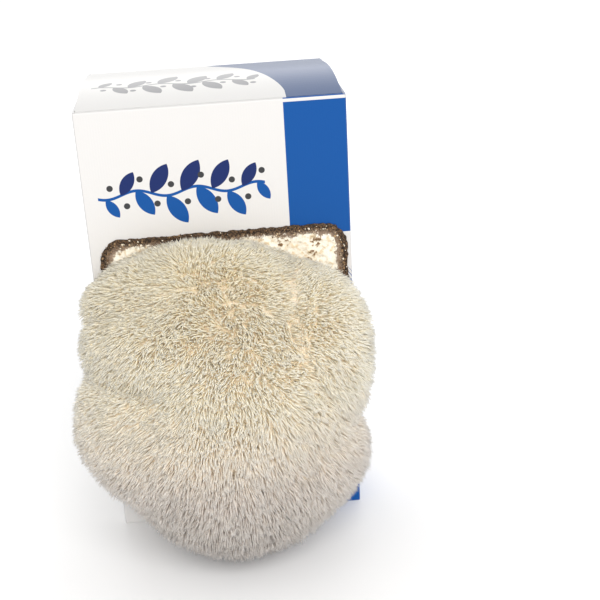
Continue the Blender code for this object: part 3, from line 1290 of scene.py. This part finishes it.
    def gather(self, roots: np.ndarray, normals: np.ndarray) -> tuple[np.ndarray, np.ndarray]:
        """What the tufts do to their spines.

        Scattered centres gather the spines into tufts of two sizes. A tip moves
        a share of the way to its nearest centre of each size, along the surface,
        and leans a way that is the same for the whole tuft: noise read at the
        centre itself. The spines' lengths vary with their tufts in the same way.

        Args:
            roots: root points.
            normals: outward normals.

        Returns:
            One sideways move for each tip, and one part of its unevenness.
        """
        shift = np.zeros_like(roots)
        uneven = np.zeros(len(roots))
        for tuft in self.tufts:
            centres = nearest_centres(roots, tuft.cell, tuft.centre_seed)
            together = np.stack([tuft.shared(centres, seed) for seed in tuft.lean_seeds], axis=1)
            away = tuft.pull * (centres - roots) + tuft.lean * together
            shift += away - (away * normals).sum(axis=1)[:, None] * normals
            uneven += self.tuft_unevenness * tuft.shared(centres, tuft.length_seed)
        return shift, uneven

    def spines(self) -> list[bpy.types.Object]:
        """All the spines, as a few joined meshes from the top of the mushroom to its hem.

        A spine is a three-sided rod on a path: out along its lean, bending down
        with the square of the way along and towards its tuft with its power 1.5.
        Its radius falls to nothing at the tip.

        Returns:
            The pieces.
        """
        chance = np.random.default_rng(self.seed)
        roots, normals, outward = self.roots(chance)
        lean = self.leans(roots, normals, outward, chance)
        count = len(roots)
        shift, uneven = self.gather(roots, normals)
        length = self.spine_length * (1.0 + self.unevenness * (chance.uniform(-1.0, 1.0, count) + uneven))
        patches = lattice_noise(roots, self.shade_cell, self.shade_seed)
        shade = 0.5 + 0.3 * patches + 0.2 * chance.uniform(-1.0, 1.0, count)
        thick = self.root_radius * chance.uniform(*self.thickness, count)

        way = ROD_PLACES[:, None, None] * lean
        way[:, :, 2] -= self.curl * ROD_PLACES[:, None] ** 2
        path = roots - self.sunk * normals + length[:, None] * way
        path += (ROD_PLACES ** self.tuft_power)[:, None, None] * shift
        first = unit(np.cross(lean, unit(chance.normal(size=(count, 3)))))
        second = np.cross(lean, first)
        turn = np.arange(ROD_SIDES) * 2.0 * math.pi / ROD_SIDES
        spokes = np.cos(turn)[:, None, None] * first + np.sin(turn)[:, None, None] * second
        rings = path[:-1, None] + (ROD_WIDTHS[:, None] * thick)[:, None, :, None] * spokes
        points = np.concatenate([rings.reshape(-1, count, 3), path[-1:]]).transpose(1, 0, 2)
        points[:, :, 1] = np.minimum(points[:, :, 1], self.back)
        points[:, :, 2] = np.maximum(points[:, :, 2], self.lowest)

        order = np.argsort(-roots[:, 2], kind="stable")
        return [
            self.spine_piece(f"spines_{number}", points[chosen], shade[chosen])
            for number, chosen in enumerate(np.array_split(order, self.pieces), start=1)
        ]

    def spine_piece(self, name: str, points: np.ndarray, shade: np.ndarray) -> bpy.types.Object:
        """Join some spines in one mesh.

        Args:
            name: the piece's name.
            points: a row of points for each spine: its rings, then its tip.
            shade: one random shade a spine.

        Returns:
            The piece.
        """
        count, corners = points.shape[:2]
        sides = grid_faces(len(ROD_WIDTHS), ROD_SIDES)
        tip = corners - 1
        tips = fan_faces(np.arange(tip - ROD_SIDES, tip), tip)
        pattern = np.concatenate([sides[:, [0, 1, 2]], sides[:, [0, 2, 3]], tips, [[0, 2, 1]]])
        start = corners * np.arange(count)[:, None, None]
        piece = make_mesh(name, points.reshape(-1, 3), [(pattern[None] + start).reshape(-1, 3)])
        along = np.append(np.repeat(ROD_PLACES[:-1], ROD_SIDES), ROD_PLACES[-1])
        add_attribute(piece, "along", np.tile(along, count))
        add_attribute(piece, "shade", np.repeat(shade, corners))
        return piece

    def build(self) -> list[bpy.types.Object]:
        """Make the mushroom.

        Returns:
            The flesh and its spines, which stand together for the fruit body.
        """
        flesh = self.body()
        spines = self.spines()
        finish = SpineFlesh().make()
        for piece in spines:
            piece.data.materials.append(finish)
        for piece in [flesh, *spines]:
            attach(piece, "root")
            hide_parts("lions_mane_fruit_body")
        return [flesh, *spines]


@dataclass
class Studio:
    """A pale floor, an even white sky, a soft high sun, a panel for the lid's shine, and the camera."""

    floor_reach: float = 9.0
    floor_colour: Colour = (0.93, 0.93, 0.93)
    sky: Colour = (1.0, 1.0, 1.0)
    sky_strength: float = 0.76
    key_strength: float = 2.0
    key_spread: float = 50.0
    key_turn: Triple = (54.0, 0.0, 12.0)
    panel_size: tuple[float, float] = (1.4, 0.9)
    panel_power: float = 7.0
    panel_place: Triple = (0.12, 1.45, 0.85)
    panel_turn: Triple = (-67.0, 0.0, 0.0)
    camera_place: Triple = (-0.0048, -0.6887, 0.4111)
    camera_turn: Triple = (67.555, 2.922, -5.860)
    lens: float = 64.71
    sensor: float = 36.0
    bounces: int = 10

    def put(self, data: bpy.types.ID, place: Triple, turn: Triple) -> bpy.types.Object:
        """Place a light or a camera.

        Args:
            data: the light or camera, whose name the object takes.
            place: where it goes.
            turn: its turns about X, Y and Z, in degrees.

        Returns:
            The object, linked to the scene.
        """
        thing = bpy.data.objects.new(data.name, data)
        thing.location = place
        thing.rotation_euler = tuple(math.radians(angle) for angle in turn)
        bpy.context.scene.collection.objects.link(thing)
        return thing

    def floor(self) -> None:
        """A pale floor, wide enough to fill the picture."""
        reach = self.floor_reach
        points = np.array([(-reach, -reach, 0), (reach, -reach, 0), (reach, reach, 0), (-reach, reach, 0)])
        floor = make_mesh("floor", points, [np.array([[0, 1, 2, 3]])])
        paint = Palette("pale_floor", roughness=0.9)
        paint.shader.inputs["Specular IOR Level"].default_value = 0.0
        floor.data.materials.append(paint.finish(self.floor_colour))

    def lights(self) -> None:
        """White sky all round, a soft sun from the front and above, and a panel behind."""
        world = bpy.data.worlds.new("studio_sky")
        world.use_nodes = True
        background = world.node_tree.nodes["Background"]
        background.inputs["Color"].default_value = (*self.sky, 1.0)
        background.inputs["Strength"].default_value = self.sky_strength
        bpy.context.scene.world = world
        key = bpy.data.lights.new("key", "SUN")
        key.energy = self.key_strength
        key.angle = math.radians(self.key_spread)
        self.put(key, (0.0, 0.0, 0.0), self.key_turn)
        panel = bpy.data.lights.new("back_panel", "AREA")
        panel.shape = "RECTANGLE"
        panel.size, panel.size_y = self.panel_size
        panel.energy = self.panel_power
        self.put(panel, self.panel_place, self.panel_turn).visible_camera = False

    def camera(self) -> None:
        """The camera, where the photograph was taken from."""
        data = bpy.data.cameras.new("camera")
        data.lens = self.lens
        data.sensor_width = self.sensor
        bpy.context.scene.camera = self.put(data, self.camera_place, self.camera_turn)

    def build(self) -> None:
        """Set up the studio."""
        self.floor()
        self.lights()
        self.camera()
        bpy.context.scene.view_settings.view_transform = "Standard"
        bpy.context.scene.cycles.diffuse_bounces = self.bounces


def main() -> None:
    logging.basicConfig(level=logging.INFO, format="%(message)s")
    Studio().build()
    made = [Carton().dress(), *SubstrateBlock().build(), *FruitBody().build()]
    for piece in made:
        LOG.info("%s: %d faces", piece.name, len(piece.data.polygons))


if __name__ == "__main__":
    main()
